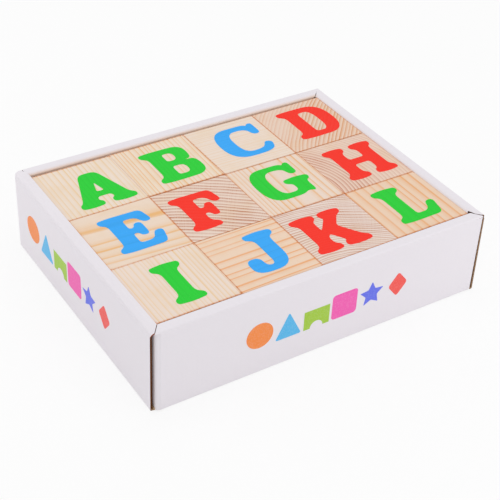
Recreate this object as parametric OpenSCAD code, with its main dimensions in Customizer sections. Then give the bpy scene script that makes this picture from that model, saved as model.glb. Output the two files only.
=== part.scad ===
// A boxed set of alphabet blocks: twelve pine cubes with printed letters, standing four by three
// in a shallow tray that is folded from one blank of fine corrugated board, with double walls.
// The origin is on the table under the middle of the tray, X runs along its long side, and the
// front long wall faces -Y. Lengths are in millimetres.

/* [Blocks] */
// Edge length of a cube
block_size = 40; // [30:0.5:60]
// Flat worn onto every edge of a cube
block_ease = 0.3; // [0.2:0.1:2]
// Space between neighbouring cubes
block_gap = 0.3; // [0.2:0.05:0.8]
// Space between the cubes and the short walls
end_play = 0.2; // [0.2:0.1:3]
// Space between the cubes and the long walls
side_play = 1.5; // [0.8:0.1:3]
// How far the cubes stand in front of the middle of the tray
seat_forward = 0.5; // [0:0.1:0.6]

/* [Letters] */
// Height of a printed letter
letter_size = 27; // [15:0.5:28]
// Thickness of the ink
ink_t = 0.1; // [0.05:0.01:0.2]

/* [Tray] */
// Thickness of the corrugated board
board_t = 1.2; // [0.8:0.1:3]
// Inside radius of a fold
fold_r = 0.1; // [0.05:0.05:0.5]
// Space between two layers of board inside a wall
layer_gap = 0.8; // [0.1:0.05:0.9]
// Height of the rim above the cubes
rim_lift = 1; // [0.3:0.1:8]
// Width of the open mitre between two rims
mitre_gap = 0.4; // [0.2:0.05:1.5]
// How far the short outer walls end behind the long walls' outer faces
end_setback = 0.5; // [0.2:0.1:1]
// Length of a corner flap behind the long wall's outer face
flap_len = 32; // [12:1:45]

/* [Locking tabs] */
// Width of a locking tab where it leaves the inner wall
tab_w = 22; // [10:1:30]
// How much a tab draws in on each side towards its tip
tab_taper = 1.5; // [0.5:0.1:4]
// Clearance round a tab in its slot
slot_gap = 0.25; // [0.1:0.05:0.8]

/* [Hidden] */
$fn = 48;

// Layout of the cubes, counted from the left and from the front
columns = 4;
rows = 3;
pitch = block_size + block_gap;
inner_l = columns * pitch - block_gap + 2 * end_play;
inner_w = rows * pitch - block_gap + 2 * side_play;

// Tray sections
layer = board_t + layer_gap;
fold_o = board_t + fold_r;
rim_w = 3 * board_t + 2 * layer_gap;
outer_l = inner_l + 2 * rim_w;
outer_w = inner_w + 2 * rim_w;
blocks_top = board_t + block_size;
rim_top = blocks_top + rim_lift;
wall_top = rim_top - fold_o;
long_wall_l = outer_l - 2 * (layer + fold_o);
short_wall_l = outer_w - 2 * end_setback;
mitre_set = mitre_gap / sqrt(2);
overrun = board_t;

// Middles of the two tabs of an inner wall, as shares of its length from the middle
tab_place_shares = [-0.25, 0.25];

// How far each cube stands towards the back, as a share of the gap between cubes
seat_shift_shares = [
    0, 1.2, 0.8, 0.7,
    0, 0, 0.3, 0,
    0.3, -0.5, -0.2, 0
];

// Where each print sits off the middle of its face, as shares of the free margin beside it
print_shift_shares = [
    [0.5, -0.4], [0.5, -0.15], [0.5, 0.12], [0.5, 0.2],
    [0.28, 0], [-0.55, -0.1], [0, 0.3], [0.5, 0],
    [0.1, -0.1], [0.5, 0.1], [-0.4, -0.1], [0.2, 0.05]
];

// Colours
wood_colour = [0.93, 0.84, 0.74];
board_colour = [0.9, 0.88, 0.91];
green_ink = [0.22, 0.81, 0.27];
blue_ink = [0.27, 0.66, 0.96];
red_ink = [0.97, 0.24, 0.19];
ink_colours = [
    green_ink, green_ink, blue_ink, red_ink,
    blue_ink, red_ink, green_ink, red_ink,
    green_ink, blue_ink, red_ink, green_ink
];

// Letter outlines: each corner is [x, y, rounding] in shares of the letter's height
letter_shares = [
    [ // A
        [0, 0.01, 0.06], [0.21, -0.02, 0.1], [0.43, 0.01, 0.06], [0.43, 0.12, 0.06], [0.36, 0.16, 0.06],
        [0.39, 0.26, 0.05], [0.63, 0.26, 0.05], [0.66, 0.16, 0.06], [0.59, 0.12, 0.06], [0.59, 0.01, 0.06],
        [0.81, -0.02, 0.1], [1.03, 0.01, 0.06], [1.03, 0.12, 0.06], [0.94, 0.18, 0.09], [0.68, 1, 0.12],
        [0.35, 1, 0.12], [0.08, 0.18, 0.09], [0, 0.12, 0.06]
    ],
    [ // B
        [0, 0.01, 0.06], [0.2, -0.01, 0.1], [0.92, 0, 0.27], [0.92, 0.51, 0.24], [0.7, 0.53, 0.03],
        [0.86, 0.56, 0.2], [0.86, 1, 0.24], [0.2, 1.01, 0.1], [0, 0.99, 0.06], [0, 0.88, 0.06],
        [0.12, 0.81, 0.1], [0.12, 0.19, 0.1], [0, 0.12, 0.06]
    ],
    [ // C
        [0.93, 1, 0.07], [0.93, 0.63, 0.09], [0.78, 0.63, 0.09], [0.72, 0.86, 0.18], [0.3, 0.86, 0.3],
        [0.3, 0.14, 0.34], [0.72, 0.14, 0.2], [0.82, 0.34, 0.09], [0.96, 0.27, 0.09], [0.86, 0, 0.3],
        [0, 0, 0.48], [0, 1, 0.48], [0.73, 1, 0.14], [0.8, 0.94, 0.06], [0.84, 1, 0.06]
    ],
    [ // D
        [0, 0.01, 0.06], [0.2, -0.01, 0.1], [0.97, 0, 0.46], [0.97, 1, 0.46], [0.2, 1.01, 0.1],
        [0, 0.99, 0.06], [0, 0.88, 0.06], [0.12, 0.81, 0.1], [0.12, 0.19, 0.1], [0, 0.12, 0.06]
    ],
    [ // E
        [0, 0.01, 0.06], [0.2, -0.01, 0.1], [0.82, 0, 0.1], [0.9, 0.36, 0.09], [0.74, 0.37, 0.09],
        [0.66, 0.16, 0.14], [0.4, 0.16, 0.06], [0.4, 0.43, 0.06], [0.49, 0.43, 0.06], [0.53, 0.33, 0.06],
        [0.66, 0.33, 0.09], [0.66, 0.69, 0.09], [0.53, 0.69, 0.06], [0.49, 0.58, 0.06], [0.4, 0.58, 0.06],
        [0.4, 0.84, 0.06], [0.62, 0.84, 0.12], [0.72, 0.65, 0.09], [0.87, 0.67, 0.09], [0.8, 1, 0.09],
        [0.2, 1.01, 0.1], [0, 0.99, 0.06], [0, 0.88, 0.06], [0.12, 0.81, 0.1], [0.12, 0.19, 0.1],
        [0, 0.12, 0.06]
    ],
    [ // F
        [0, 0.01, 0.06], [0.26, -0.02, 0.12], [0.54, 0.01, 0.06], [0.54, 0.12, 0.06], [0.4, 0.19, 0.1],
        [0.4, 0.4, 0.06], [0.49, 0.4, 0.06], [0.53, 0.29, 0.06], [0.66, 0.29, 0.09], [0.66, 0.67, 0.09],
        [0.53, 0.67, 0.06], [0.49, 0.56, 0.06], [0.4, 0.56, 0.06], [0.4, 0.84, 0.06], [0.62, 0.84, 0.12],
        [0.72, 0.63, 0.09], [0.87, 0.65, 0.09], [0.8, 1, 0.09], [0.2, 1.01, 0.1], [0, 0.99, 0.06],
        [0, 0.88, 0.06], [0.12, 0.81, 0.1], [0.12, 0.19, 0.1], [0, 0.12, 0.06]
    ],
    [ // G
        [0.93, 1, 0.07], [0.93, 0.64, 0.09], [0.78, 0.64, 0.09], [0.72, 0.86, 0.18], [0.3, 0.86, 0.3],
        [0.3, 0.14, 0.3], [0.65, 0.14, 0.12], [0.65, 0.35, 0.07], [0.53, 0.4, 0.06], [0.53, 0.51, 0.06],
        [0.78, 0.54, 0.12], [1.03, 0.51, 0.06], [1.03, 0.4, 0.06], [0.93, 0.35, 0.08], [0.93, 0, 0.12],
        [0.8, 0.08, 0.08], [0.66, 0, 0.14], [0, 0, 0.48], [0, 1, 0.48], [0.73, 1, 0.14],
        [0.8, 0.94, 0.06], [0.84, 1, 0.06]
    ],
    [ // H
        [0, 0.01, 0.06], [0.22, -0.02, 0.12], [0.44, 0.01, 0.06], [0.44, 0.12, 0.06], [0.35, 0.18, 0.09],
        [0.35, 0.42, 0.06], [0.67, 0.42, 0.06], [0.67, 0.18, 0.09], [0.58, 0.12, 0.06], [0.58, 0.01, 0.06],
        [0.8, -0.02, 0.12], [1.02, 0.01, 0.06], [1.02, 0.12, 0.06], [0.93, 0.18, 0.09], [0.93, 0.82, 0.09],
        [1.02, 0.88, 0.06], [1.02, 0.99, 0.06], [0.8, 1.02, 0.12], [0.58, 0.99, 0.06], [0.58, 0.88, 0.06],
        [0.67, 0.82, 0.09], [0.67, 0.59, 0.06], [0.35, 0.59, 0.06], [0.35, 0.82, 0.09], [0.44, 0.88, 0.06],
        [0.44, 0.99, 0.06], [0.22, 1.02, 0.12], [0, 0.99, 0.06], [0, 0.88, 0.06], [0.09, 0.82, 0.09],
        [0.09, 0.18, 0.09], [0, 0.12, 0.06]
    ],
    [ // I
        [0, 0.01, 0.06], [0.26, -0.02, 0.12], [0.52, 0.01, 0.06], [0.52, 0.12, 0.06], [0.4, 0.19, 0.1],
        [0.4, 0.81, 0.1], [0.52, 0.88, 0.06], [0.52, 0.99, 0.06], [0.26, 1.02, 0.12], [0, 0.99, 0.06],
        [0, 0.88, 0.06], [0.12, 0.81, 0.1], [0.12, 0.19, 0.1], [0, 0.12, 0.06]
    ],
    [ // J
        [0.28, 0.99, 0.06], [0.55, 1.02, 0.12], [0.82, 0.99, 0.06], [0.82, 0.88, 0.06], [0.7, 0.81, 0.1],
        [0.7, 0, 0.38], [0, 0, 0.28], [0, 0.4, 0.14], [0.25, 0.4, 0.14], [0.27, 0.15, 0.1],
        [0.42, 0.15, 0.13], [0.42, 0.81, 0.1], [0.28, 0.88, 0.06]
    ],
    [ // K
        [0, 0.01, 0.06], [0.24, -0.02, 0.12], [0.48, 0.01, 0.06], [0.48, 0.12, 0.06], [0.39, 0.18, 0.08],
        [0.39, 0.34, 0.05], [0.46, 0.42, 0.06], [0.62, 0.17, 0.05], [0.56, 0.12, 0.05], [0.56, 0.01, 0.06],
        [0.8, -0.02, 0.12], [1.05, 0.01, 0.06], [1.05, 0.12, 0.06], [0.95, 0.18, 0.08], [0.7, 0.57, 0.06],
        [0.87, 0.82, 0.08], [0.99, 0.88, 0.06], [0.99, 0.99, 0.06], [0.77, 1.02, 0.12], [0.56, 0.99, 0.06],
        [0.56, 0.88, 0.05], [0.61, 0.82, 0.05], [0.39, 0.55, 0.05], [0.39, 0.82, 0.08], [0.48, 0.88, 0.06],
        [0.48, 0.99, 0.06], [0.24, 1.02, 0.12], [0, 0.99, 0.06], [0, 0.88, 0.06], [0.11, 0.81, 0.1],
        [0.11, 0.19, 0.1], [0, 0.12, 0.06]
    ],
    [ // L
        [0, 0.01, 0.06], [0.2, -0.01, 0.1], [0.82, 0, 0.1], [0.9, 0.4, 0.09], [0.74, 0.41, 0.09],
        [0.65, 0.16, 0.16], [0.4, 0.16, 0.06], [0.4, 0.81, 0.1], [0.53, 0.88, 0.06], [0.53, 0.99, 0.06],
        [0.26, 1.02, 0.12], [0, 0.99, 0.06], [0, 0.88, 0.06], [0.12, 0.81, 0.1], [0.12, 0.19, 0.1],
        [0, 0.12, 0.06]
    ]
];

// Openings in the letters that have them, in the same shares
no_counters = [];
counter_shares = [
    [[[0.44, 0.41, 0.04], [0.58, 0.41, 0.04], [0.51, 0.69, 0.05]]],
    [
        [[0.4, 0.15, 0.06], [0.64, 0.15, 0.13], [0.64, 0.43, 0.13], [0.4, 0.43, 0.06]],
        [[0.4, 0.6, 0.06], [0.6, 0.6, 0.12], [0.6, 0.85, 0.12], [0.4, 0.85, 0.06]]
    ],
    no_counters,
    [[[0.4, 0.15, 0.07], [0.68, 0.15, 0.28], [0.68, 0.85, 0.28], [0.4, 0.85, 0.07]]],
    no_counters, no_counters, no_counters, no_counters,
    no_counters, no_counters, no_counters, no_counters
];

// A rounding takes at most this share of the edge beside its corner
corner_reach_share = 0.48;
// Roundings above this share of the letter's height are drawn in more steps
bowl_share = 0.11;
bowl_steps = 8;
corner_steps = 3;

function column_of(n) = n % columns;
function row_of(n) = rows - 1 - floor(n / columns);
function seat_x(n) = (column_of(n) - (columns - 1) / 2) * pitch;
function seat_y(n) = (row_of(n) - (rows - 1) / 2) * pitch + seat_shift_shares[n] * block_gap - seat_forward;
function print_shift(n) = print_shift_shares[n] * (block_size - letter_size) / 2;

// Where a corner [x, y, rounding] lies
function place(corner) = [corner.x, corner.y];
// The point on the way from one place to the next where a rounding of the given size begins
function reach(from, to, rounding) =
    from + (to - from) * min(rounding / norm(to - from), corner_reach_share);
// One corner drawn as a parabola between its two edges
function soft_corner(before, corner, after) =
    let (
        tip = place(corner),
        start = reach(tip, place(before), corner.z),
        finish = reach(tip, place(after), corner.z),
        steps = corner.z > bowl_share ? bowl_steps : corner_steps
    )
    [for (k = [0 : steps]) let (t = k / steps) start * (1 - t) ^ 2 + tip * 2 * t * (1 - t) + finish * t ^ 2];
// A whole outline with all its corners rounded
function soft_outline(loop) =
    let (count = len(loop))
    [
        for (k = [0 : count - 1])
            each soft_corner(loop[(k + count - 1) % count], loop[k], loop[(k + 1) % count])
    ];
// Middle of a list of values, and of a letter's outline
function middle(values) = (min(values) + max(values)) / 2;
function letter_middle(loop) = [middle([for (p = loop) p.x]), middle([for (p = loop) p.y])];

// Square face of a cube with its corners cut off
module eased_face() {
    half = block_size / 2;
    flat = half - block_ease;
    polygon([
        [flat, -half], [half, -flat], [half, flat], [flat, half],
        [-flat, half], [-half, flat], [-half, -flat], [-flat, -half]
    ]);
}

// Cube number n in its place on the floor of the tray
module wooden_block(n) {
    color(wood_colour)
        translate([seat_x(n), seat_y(n), board_t + block_size / 2])
            intersection() {
                linear_extrude(block_size, center = true) eased_face();
                rotate([90, 0, 0]) linear_extrude(block_size, center = true) eased_face();
                rotate([0, 90, 0]) linear_extrude(block_size, center = true) eased_face();
            }
}

// Printed letter number n on the upper face of its cube
module printed_letter(n) {
    outline = letter_shares[n];
    shift = print_shift(n) - letter_middle(outline) * letter_size;
    color(ink_colours[n])
        translate([seat_x(n) + shift.x, seat_y(n) + shift.y, blocks_top])
            linear_extrude(ink_t)
                difference() {
                    polygon(soft_outline(outline) * letter_size);
                    for (hole = counter_shares[n])
                        polygon(soft_outline(hole) * letter_size);
                }
}

// Section of a fold that turns the board through a right angle round the corner at zero
module fold_section() {
    intersection() {
        translate([fold_o, fold_o])
            difference() {
                circle(fold_o);
                circle(fold_r);
            }
        square(fold_o);
    }
}

// Section of an outer wall with the fold at its foot
module outer_wall_section() {
    fold_section();
    translate([0, fold_o])
        square([board_t, wall_top - fold_o]);
}

// Section of a rim with the folds on both its sides
module rim_section() {
    translate([0, rim_top])
        mirror([0, 1])
            fold_section();
    translate([fold_o, rim_top - board_t])
        square([rim_w - 2 * fold_o, board_t]);
    translate([rim_w, rim_top])
        rotate(180)
            fold_section();
}

// Runs a section, drawn inwards and upwards, along a wall
module along_wall(span) {
    rotate([90, 0, 90])
        linear_extrude(span, center = true)
            children();
}

// Puts a wall that is drawn along X with its outer face at zero on one side of the tray
module on_front() {
    translate([0, -outer_w / 2, 0]) children();
}
module on_back() {
    rotate(180) on_front() children();
}
module on_right() {
    rotate(90) translate([0, -outer_l / 2, 0]) children();
}
module on_left() {
    rotate(180) on_right() children();
}

module outer_wall(span) {
    color(board_colour)
        along_wall(span)
            outer_wall_section();
}

// A rim with mitred ends, its outer edge as long as the given side of the tray
module rim(side) {
    reach_out = side / 2 - mitre_set + overrun;
    reach_in = side / 2 - mitre_set - rim_w - overrun;
    color(board_colour)
        intersection() {
            along_wall(side) rim_section();
            linear_extrude(rim_top + overrun)
                polygon([
                    [-reach_out, -overrun], [reach_out, -overrun],
                    [reach_in, rim_w + overrun], [-reach_in, rim_w + overrun]
                ]);
        }
}

// An inner wall that hangs from the rim and locks into the floor with two tabs
module inner_wall(clear_span) {
    span = clear_span - 2 * layer_gap;
    color(board_colour)
        translate([0, rim_w, 0])
            rotate([90, 0, 0])
                linear_extrude(board_t) {
                    translate([-span / 2, board_t])
                        square([span, wall_top - board_t]);
                    for (share = tab_place_shares)
                        translate([share * clear_span, 0])
                            polygon([
                                [-tab_w / 2 + tab_taper, 0], [tab_w / 2 - tab_taper, 0],
                                [tab_w / 2, board_t], [-tab_w / 2, board_t]
                            ]);
                }
}

// The slots in the floor for the tabs of one inner wall
module tab_slots(clear_span) {
    for (share = tab_place_shares)
        translate([share * clear_span - tab_w / 2 - slot_gap, rim_w - board_t - slot_gap, -overrun])
            cube([tab_w + 2 * slot_gap, board_t + 2 * slot_gap, board_t + 2 * overrun]);
}

module tray_floor() {
    color(board_colour)
        difference() {
            translate([fold_o - outer_l / 2, fold_o - outer_w / 2, 0])
                cube([outer_l - 2 * fold_o, outer_w - 2 * fold_o, board_t]);
            on_front() tab_slots(inner_l);
            on_back() tab_slots(inner_l);
            on_left() tab_slots(inner_w);
            on_right() tab_slots(inner_w);
        }
}

// A flap that turns round the corner from a long wall and lies inside the short outer wall
module corner_flap() {
    color(board_colour)
        translate([layer - outer_l / 2, -outer_w / 2, fold_o])
            linear_extrude(wall_top - fold_o) {
                fold_section();
                translate([0, fold_o])
                    square([board_t, flap_len - fold_o]);
            }
}

module block_a() { wooden_block(0); }
module block_b() { wooden_block(1); }
module block_c() { wooden_block(2); }
module block_d() { wooden_block(3); }
module block_e() { wooden_block(4); }
module block_f() { wooden_block(5); }
module block_g() { wooden_block(6); }
module block_h() { wooden_block(7); }
module block_i() { wooden_block(8); }
module block_j() { wooden_block(9); }
module block_k() { wooden_block(10); }
module block_l() { wooden_block(11); }

module letter_a() { printed_letter(0); }
module letter_b() { printed_letter(1); }
module letter_c() { printed_letter(2); }
module letter_d() { printed_letter(3); }
module letter_e() { printed_letter(4); }
module letter_f() { printed_letter(5); }
module letter_g() { printed_letter(6); }
module letter_h() { printed_letter(7); }
module letter_i() { printed_letter(8); }
module letter_j() { printed_letter(9); }
module letter_k() { printed_letter(10); }
module letter_l() { printed_letter(11); }

module front_outer_wall() { on_front() outer_wall(long_wall_l); }
module back_outer_wall() { on_back() outer_wall(long_wall_l); }
module left_outer_wall() { on_left() outer_wall(short_wall_l); }
module right_outer_wall() { on_right() outer_wall(short_wall_l); }

module front_rim() { on_front() rim(outer_l); }
module back_rim() { on_back() rim(outer_l); }
module left_rim() { on_left() rim(outer_w); }
module right_rim() { on_right() rim(outer_w); }

module front_inner_wall() { on_front() inner_wall(inner_l); }
module back_inner_wall() { on_back() inner_wall(inner_l); }
module left_inner_wall() { on_left() inner_wall(inner_w); }
module right_inner_wall() { on_right() inner_wall(inner_w); }

module front_left_flap() { corner_flap(); }
module front_right_flap() { mirror([1, 0, 0]) corner_flap(); }
module back_left_flap() { mirror([0, 1, 0]) corner_flap(); }
module back_right_flap() { rotate(180) corner_flap(); }

block_a();
block_b();
block_c();
block_d();
block_e();
block_f();
block_g();
block_h();
block_i();
block_j();
block_k();
block_l();
letter_a();
letter_b();
letter_c();
letter_d();
letter_e();
letter_f();
letter_g();
letter_h();
letter_i();
letter_j();
letter_k();
letter_l();
tray_floor();
front_outer_wall();
back_outer_wall();
left_outer_wall();
right_outer_wall();
front_rim();
back_rim();
left_rim();
right_rim();
front_inner_wall();
back_inner_wall();
left_inner_wall();
right_inner_wall();
front_left_flap();
front_right_flap();
back_left_flap();
back_right_flap();
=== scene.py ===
"""Looks of a boxed set of alphabet blocks: pine cubes with printed letters in a folded board tray."""
import math
from collections import namedtuple
from functools import partial

import bmesh
import bpy
from mathutils import Matrix, Vector, noise


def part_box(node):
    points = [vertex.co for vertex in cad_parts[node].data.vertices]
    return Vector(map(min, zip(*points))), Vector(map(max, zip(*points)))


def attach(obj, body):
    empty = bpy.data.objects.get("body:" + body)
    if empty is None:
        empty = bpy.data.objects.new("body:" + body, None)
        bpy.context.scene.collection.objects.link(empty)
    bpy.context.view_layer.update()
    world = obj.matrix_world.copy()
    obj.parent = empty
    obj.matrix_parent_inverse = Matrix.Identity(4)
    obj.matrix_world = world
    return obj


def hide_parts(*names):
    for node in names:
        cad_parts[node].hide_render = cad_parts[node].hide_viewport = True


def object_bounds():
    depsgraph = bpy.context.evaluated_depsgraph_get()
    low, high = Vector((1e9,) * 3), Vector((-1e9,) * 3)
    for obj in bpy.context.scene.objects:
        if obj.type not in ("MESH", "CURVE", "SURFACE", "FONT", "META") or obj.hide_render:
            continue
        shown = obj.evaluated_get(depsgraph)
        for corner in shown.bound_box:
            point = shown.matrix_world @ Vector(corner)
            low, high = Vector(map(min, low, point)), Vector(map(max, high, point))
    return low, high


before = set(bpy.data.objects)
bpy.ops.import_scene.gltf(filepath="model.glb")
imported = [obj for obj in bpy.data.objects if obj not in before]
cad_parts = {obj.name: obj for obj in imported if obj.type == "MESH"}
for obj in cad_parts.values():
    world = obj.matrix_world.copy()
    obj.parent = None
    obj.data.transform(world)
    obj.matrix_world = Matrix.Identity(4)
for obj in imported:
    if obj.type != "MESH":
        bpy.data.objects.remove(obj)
cad_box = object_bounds()

# Millimetres are the script's own unit, and Blender's is the metre
MM = 0.001


def box_mm(node):
    """Lowest and highest corner of a CAD node, in millimetres."""
    low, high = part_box(node)
    return low / MM, high / MM


# Sizes of the tray, read off the frame: half its length and width, the rim's height and width, the board's
# thickness, the reach of a fold from its corner, and the short walls' distance from the long outer faces
HALF_L = cad_box[1][0] / MM
HALF_W = cad_box[1][1] / MM
RIM_TOP = cad_box[1][2] / MM
RIM_W = box_mm("left_rim")[1].x + HALF_L
BOARD_T = box_mm("tray_floor")[1].z
FOLD_REACH = box_mm("tray_floor")[0].x + HALF_L
SHORT_END_SET = HALF_W - box_mm("left_outer_wall")[1].y

# Locking tabs of the inner walls and their slots, as in the CAD source
TAB_W = 22.0
TAB_TAPER = 1.5
TAB_PLACES = (-0.25, 0.25)
SLOT_GAP = 0.25

# Layers of the corrugated board
LINER_T = 0.22
MEDIUM_T = 0.2
FLUTE_PITCH = 2.4
FLUTE_SAMPLES = 12
FLUTE_SWING = BOARD_T / 2 - LINER_T - MEDIUM_T / 2

# How far the flutes and the inner liner stand back at a raw end, and over which height below the rim's
# board this sets in
MEDIUM_SET = 0.5
INNER_LINER_SET = 0.6
RECESS_RUN = 2 * BOARD_T

# Folds: how far before and after its corner the board bends, the depth of its scored groove, and the share
# of the bend at which the groove lies. The groove is some steps of the bend wide on either side.
Fold = namedtuple("Fold", "before after score crease")
FOLD_STEPS = 16
SCORE_STEPS = 3
FOOT_FOLD = Fold(0.6, 0.6, 0.0, 0.5)
RIM_FOLD = Fold(1.0, 0.7, 0.0, 0.5)
ROLLED_FOLD = Fold(2.2, 3.0, 0.3, 0.1)
FLAP_FOLD = Fold(2.6, 1.6, 0.1, 0.3)
TIGHT_FLAP_FOLD = Fold(0.7, 0.6, 0.0, 0.5)
TIGHT_INNER_FOLD = Fold(0.7, 0.7, 0.0, 0.5)
BACK_INNER_FOLD = Fold(2.6, 1.6, 0.0, 0.5)
RIGHT_INNER_FOLD = Fold(3.2, 1.5, 0.0, 0.5)
RIM_FOLDS = {"front": RIM_FOLD, "back": RIM_FOLD, "left": ROLLED_FOLD, "right": RIM_FOLD}
INNER_FOLDS = {
    "front": TIGHT_INNER_FOLD, "back": BACK_INNER_FOLD, "left": TIGHT_INNER_FOLD, "right": RIGHT_INNER_FOLD,
}
FLAP_FOLDS = {"front_right_flap": TIGHT_FLAP_FOLD}

# Straight board beside a fold, of the rim and at the foot, and where the rim's inner fold ends below its top
FOLD_LEAD = 0.5
FOOT_LEAD = 0.1
INNER_FOLD_END = 1.7

# How far the floor's brown side lies below the tabs' shoulders
FLOOR_RELIEF = 0.06

# Corner flaps: place of the turned leg behind the short outer face, its length and top, the foot and top of
# the part that shows, where that part joins its wall, and how much nearer to the outer face a flap turns
FLAP_SET = box_mm("front_left_flap")[0].x + HALF_L
FLAP_LEN = box_mm("front_left_flap")[1].y + HALF_W
FLAP_LEG_DROP = 0.4
FLAP_LEG_TOP = box_mm("front_left_flap")[1].z - FLAP_LEG_DROP
FLAP_FOOT = 0.3
FLAP_DROP = 0.8
FLAP_TOP = RIM_TOP - FLAP_DROP
FLAP_ROOT = FLAP_SET + FLAP_FOLD.before + FOLD_LEAD
FLAP_SHIFT = {"front_right_flap": 0.78, "front_left_flap": 0.1}

# Seams between the rims: how far the short rim laps over the corner at its outer edge, the width of the
# open seam, how far the short rim draws back near its inner end, and the long rim at its outer end
Seam = namedtuple("Seam", "lap gap opening flare")
SEAMS = {
    "front_left": Seam(1.2, 0.45, 0.0, 0.0),
    "front_right": Seam(0.7, 0.6, 2.6, 0.2),
    "back_left": Seam(2.8, -0.12, 0.0, 1.1),
    "back_right": Seam(0.0, 0.06, 0.5, 0.0),
}

# How fast the long rim's flare fades away from its outer end, as a power
FLARE_POWER = 4

# Place and half length of the opening in a seam, as shares of the rim's width
OPENING_AT = 0.84
OPENING_HALF = 0.22

# How far a short wall draws back from a corner at its foot and at its top, and over which height below the
# top of the rim this fades
WALL_DRAW = {"front_left": (1.15, 1.1), "front_right": (-0.5, 0.0)}
DRAW_FADE = 3.0

# Cubes: radius of the worn edges and its spread, patches of wear in a millimetre, how far the sides swell,
# and where the faces are divided, in from an edge as shares of half a side
LETTERS = "abcdefghijkl"
EDGE_R = 0.09
EDGE_R_SPREAD = 0.07
WEAR_SCALE = 0.09
CUBE_SWELL = (0.125, 0.08, 0.0)
EDGE_CUTS = (0.0, 0.0025, 0.005, 0.008, 0.012, 0.017, 0.06, 0.3, 0.65)

# Thickness of the prints on the cubes' sides and on the walls
SIDE_FILM_T = 0.015
WALL_FILM_T = 0.03

# Angles up to which a surface is shaded smooth, in degrees
SMOOTH_ANGLE = 30.0
CUBE_SMOOTH_ANGLE = 60.0

# Colours as they look in plain light, in sRGB steps of 255. Papers have a dark and a light tone. The cut
# edges are darkened with painted shade of their recessed ends, and those of two panels at the front-left
# corner are warmer than the others with painted warm light that shines through the seam there.
INKS = {"green_ink": (47, 210, 61), "blue_ink": (63, 172, 251), "red_ink": (251, 55, 41)}
INK_ORDER = (
    "green_ink", "green_ink", "blue_ink", "red_ink",
    "blue_ink", "red_ink", "green_ink", "red_ink",
    "green_ink", "blue_ink", "red_ink", "green_ink",
)
WHITE_BOARD = (238, 232, 238)
BOARD_CLOUD = (235, 231, 236)
# Painted warm light and shade that the wood casts on the inner walls below the rim
PAINTED_WOOD_LIGHT = (238, 216, 202)
KRAFT = ((192, 156, 117), (218, 188, 152))
CUT_EDGE_AND_SHADE = ((98, 59, 35), (136, 86, 54))
MITRE_EDGE_AND_GLOW = ((158, 70, 32), (184, 96, 50))
SEAM_GLOW_EDGED = ("left_rim", "front_left_flap")
PLAIN = (1.0, 1.0, 1.0, 1.0)

# How each cube was cut from its log: the way of the fibres, their turn on the face in degrees, the pith's
# place from the cube's middle, the width of a growth ring, the rings' waviness, the thinness of the late
# wood, the colours of early and late wood, and the distance from the pith at which late wood starts to pale
Pine = namedtuple("Pine", "fibres turn pith ring warp thin early late reach", defaults=(1000.0,))
PINES = {
    "a": Pine("y", 0.5, (-180, 0, 25), 2.5, 0.3, 1.8, (240, 223, 208), (237, 203, 152)),
    "b": Pine("y", 1.5, (-110, 0, 60), 2.2, 0.6, 1.6, (241, 223, 204), (237, 180, 112)),
    "c": Pine("x", 1.0, (0, 90, 20), 1.9, 0.6, 1.5, (240, 223, 209), (238, 208, 178)),
    "d": Pine("z", 0.0, (178, -160, 0), 1.9, 0.5, 0.72, (237, 213, 195), (216, 128, 36), 236.0),
    "e": Pine("x", 5.0, (0, 19.9, -12.9), 3.6, 1.2, 1.3, (240, 219, 200), (238, 186, 126)),
    "f": Pine("z", 0.0, (-73, -116, 0), 2.35, 0.6, 0.72, (240, 222, 207), (182, 90, 32)),
    "g": Pine("y", 1.0, (4, 0, 6), 1.9, 0.5, 1.7, (239, 219, 204), (237, 180, 118)),
    "h": Pine("z", 0.0, (-48, -12, 0), 2.0, 0.5, 0.6, (239, 214, 196), (186, 82, 8), 34.0),
    "i": Pine("y", 0.0, (170, 0, 30), 2.1, 0.3, 1.8, (240, 222, 209), (238, 202, 150)),
    "j": Pine("x", -1.0, (0, -160, 20), 4.3, 0.5, 2.0, (241, 214, 190), (238, 166, 108)),
    "k": Pine("z", 0.0, (-15, -52, 0), 1.5, 0.8, 0.7, (240, 226, 217), (192, 116, 64)),
    "l": Pine("y", 0.0, (-150, 0, 30), 4.4, 0.5, 1.5, (239, 210, 185), (236, 168, 106)),
}

# Turns a log's fibres into the Z axis of its rings
FIBRES_TO_Z = {
    "x": Matrix.Rotation(math.radians(-90), 3, "Y"),
    "y": Matrix.Rotation(math.radians(90), 3, "X"),
    "z": Matrix.Identity(3),
}

# Growth ring from the pith outwards: share of the ring's width and depth of its colour
RING_PROFILE = ((0.0, 0.0), (0.3, 0.05), (0.68, 0.45), (0.86, 1.0), (0.95, 0.75), (1.0, 0.0))

# How far the growth rings stray from an even spacing, as a share of a ring, by the way of the fibres, and
# over how many rings
RING_SPREAD = {"x": 1.5, "y": 1.5, "z": 0.8}
SPREAD_RINGS = 3.1

# Waves and ripples of the rings, with their period, swing and detail, which change slowly along the fibres
ALONG_FIBRES = (1.0, 1.0, 0.18)
RING_WAVES = ((26.0, 4.0, 1.0), (4.5, 0.6, 2.0))
NOISE_MIDDLE = (0.5, 0.5, 0.5)

# What a noise does, here and below, is given as the middle and the spread of its effect. The depth of the
# late wood differs from year to year, from patch to patch, and along the rays of the end grain.
YEAR_PERIOD = 0.37
YEAR_DEPTH = (0.85, 0.9)
PATCH_PERIOD = 15.0
PATCH_DEPTH = (0.95, 1.2)
RAY_PERIOD = 0.4
RAY_DEPTH = (0.12, 0.8)

# Over how far late wood pales beyond its reach, and by what share
PALING_LENGTH = 18.0
PALING = 0.6

# Fibres, and how squarely a face cuts them where end grain starts and where it is full
FIBRE_PERIOD = 0.42
FIBRE_STRETCH = (1.0, 1.0, 0.035)
END_CUT = (0.6, 0.9)

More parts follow.
